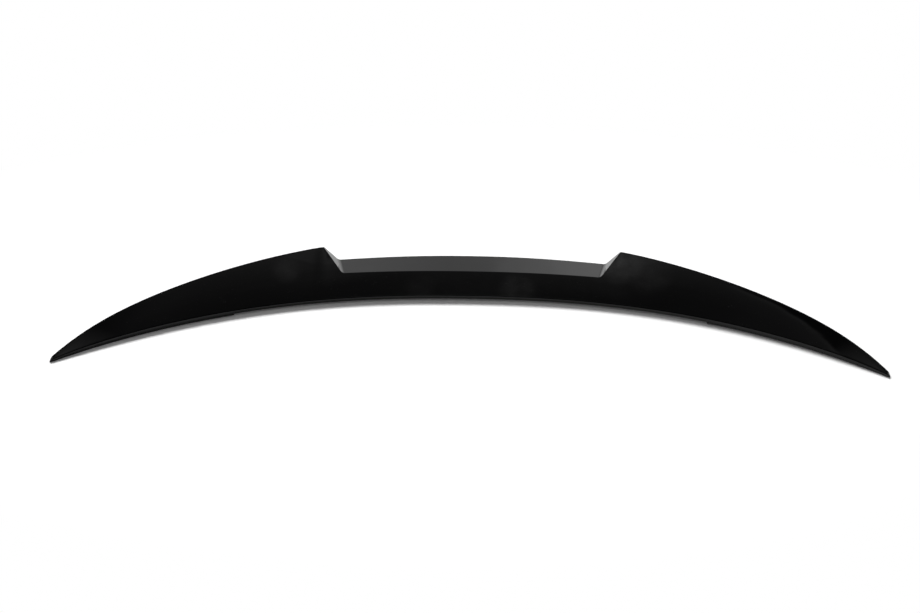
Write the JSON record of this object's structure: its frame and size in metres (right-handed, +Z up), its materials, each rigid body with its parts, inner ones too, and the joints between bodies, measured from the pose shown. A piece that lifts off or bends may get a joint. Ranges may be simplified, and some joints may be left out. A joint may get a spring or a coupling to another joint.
{
  "type": "car rear spoiler",
  "caption": "Low gloss-black lip for a boot lid, swept forward at both tips, with a shallow recess across the middle of its rear edge.",
  "frame": {"origin": "centre of the bounding box in plan, on the surface that the spoiler rests on", "axes": "+X across the car from tip to tip, +Y toward the rear of the car, +Z up, as it lies on its foot"},
  "size_m": [1.24, 0.258, 0.0515],
  "materials": {
    "gloss_black": "gloss black moulded plastic, smooth, lightly rippled in reflection"
  },
  "bodies": {
    "root": {"spoiler": "gloss_black"}
  },
  "joints": []
}
